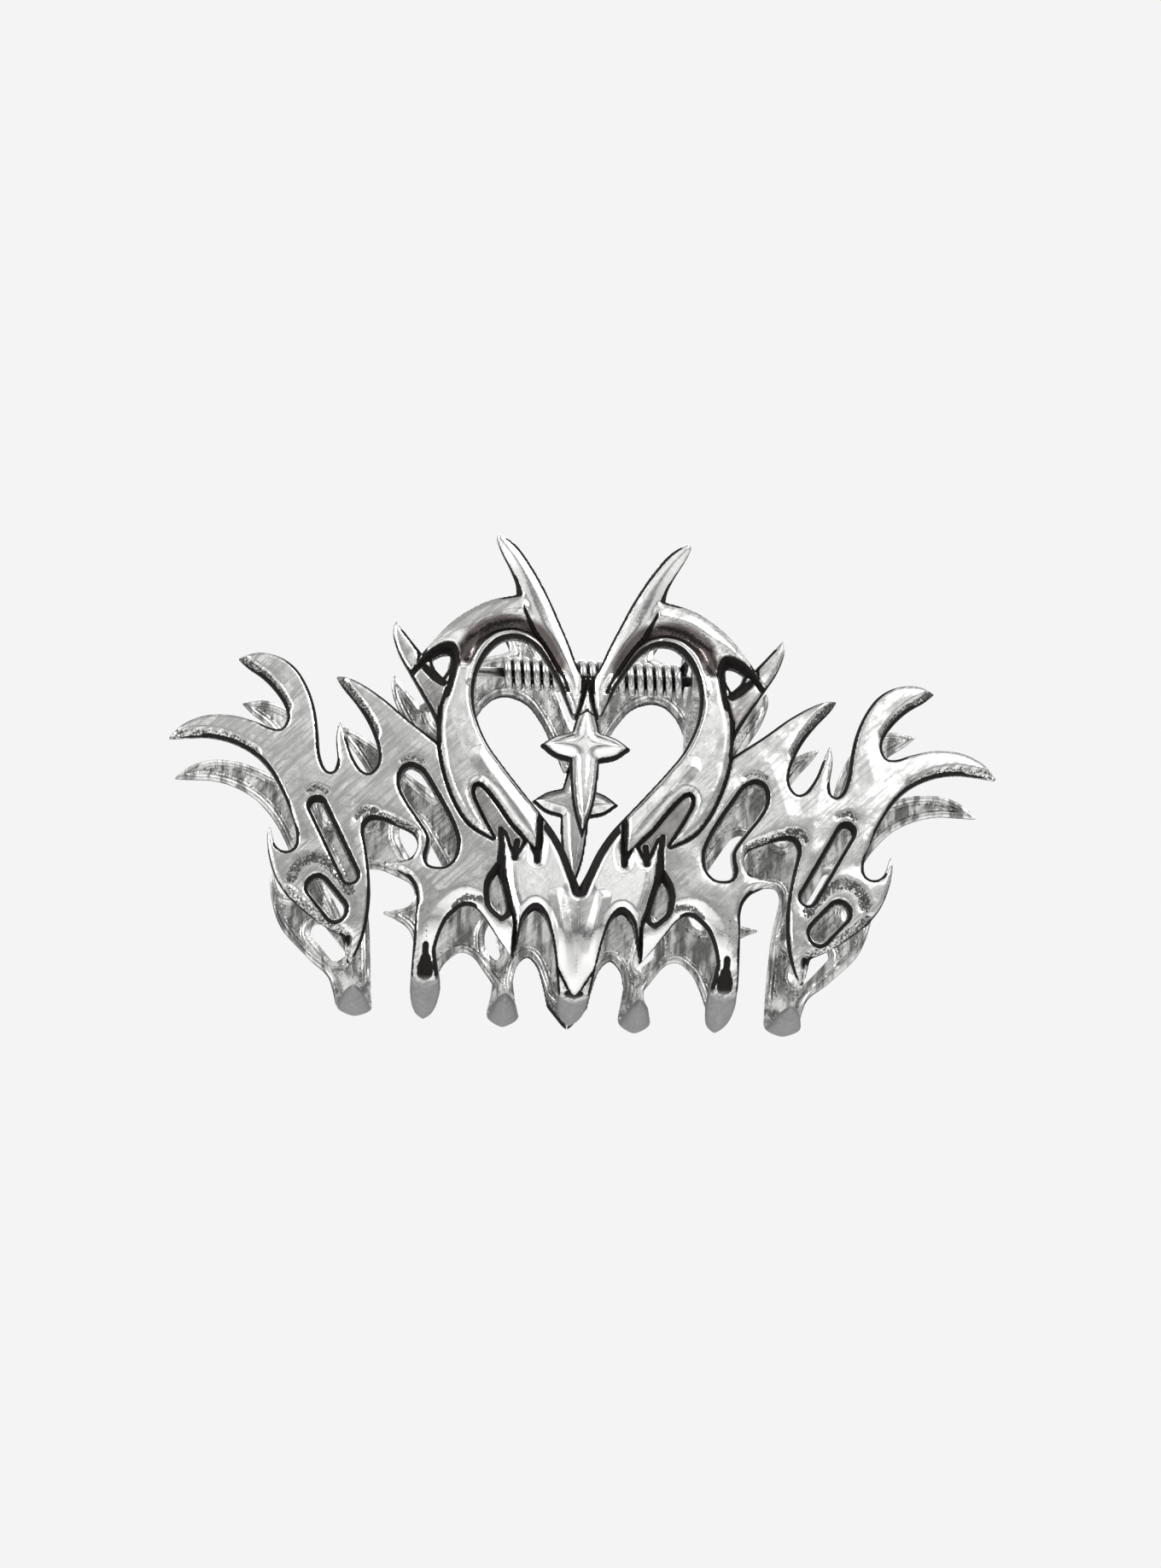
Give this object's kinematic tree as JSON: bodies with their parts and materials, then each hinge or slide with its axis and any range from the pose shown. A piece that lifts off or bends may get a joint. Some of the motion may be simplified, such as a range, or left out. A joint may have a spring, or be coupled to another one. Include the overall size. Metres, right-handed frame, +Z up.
{
  "type": "hair claw clip",
  "caption": "Ornamental cast claw clip for hair: two sprung jaws with winged flame outlines, a heart-shaped opening with a hanging cross, and curled interlocking teeth.",
  "frame": {"origin": "centre of the space between the jaws that holds the hair, on the middle plane, 23 mm below the hinge axis", "axes": "+X along the hinge pin, +Y from the front jaw to the back jaw, +Z up towards the horns"},
  "size_m": [0.0992, 0.0314, 0.0565],
  "materials": {
    "antique_silver": "zinc alloy casting with bright antique silver plating, polished ridges and blackened recesses",
    "pin_steel": "plain drawn steel wire, bright nickel plated",
    "spring_steel": "bright nickel-plated spring wire"
  },
  "bodies": {
    "front": {"front_jaw": "antique_silver", "hinge_pin": "pin_steel", "torsion_spring": "spring_steel"},
    "back": {"back_jaw": "antique_silver"}
  },
  "joints": [
    {"name": "jaw_hinge", "type": "hinge", "parent": "front", "child": "back", "pos_m": [0, 0, 0.023], "axis": [1, 0, 0], "range_deg": [0, 60], "stiffness_Nm_per_rad": 0.1, "springref_deg": -45.84, "deforming": ["torsion_spring"]}
  ]
}
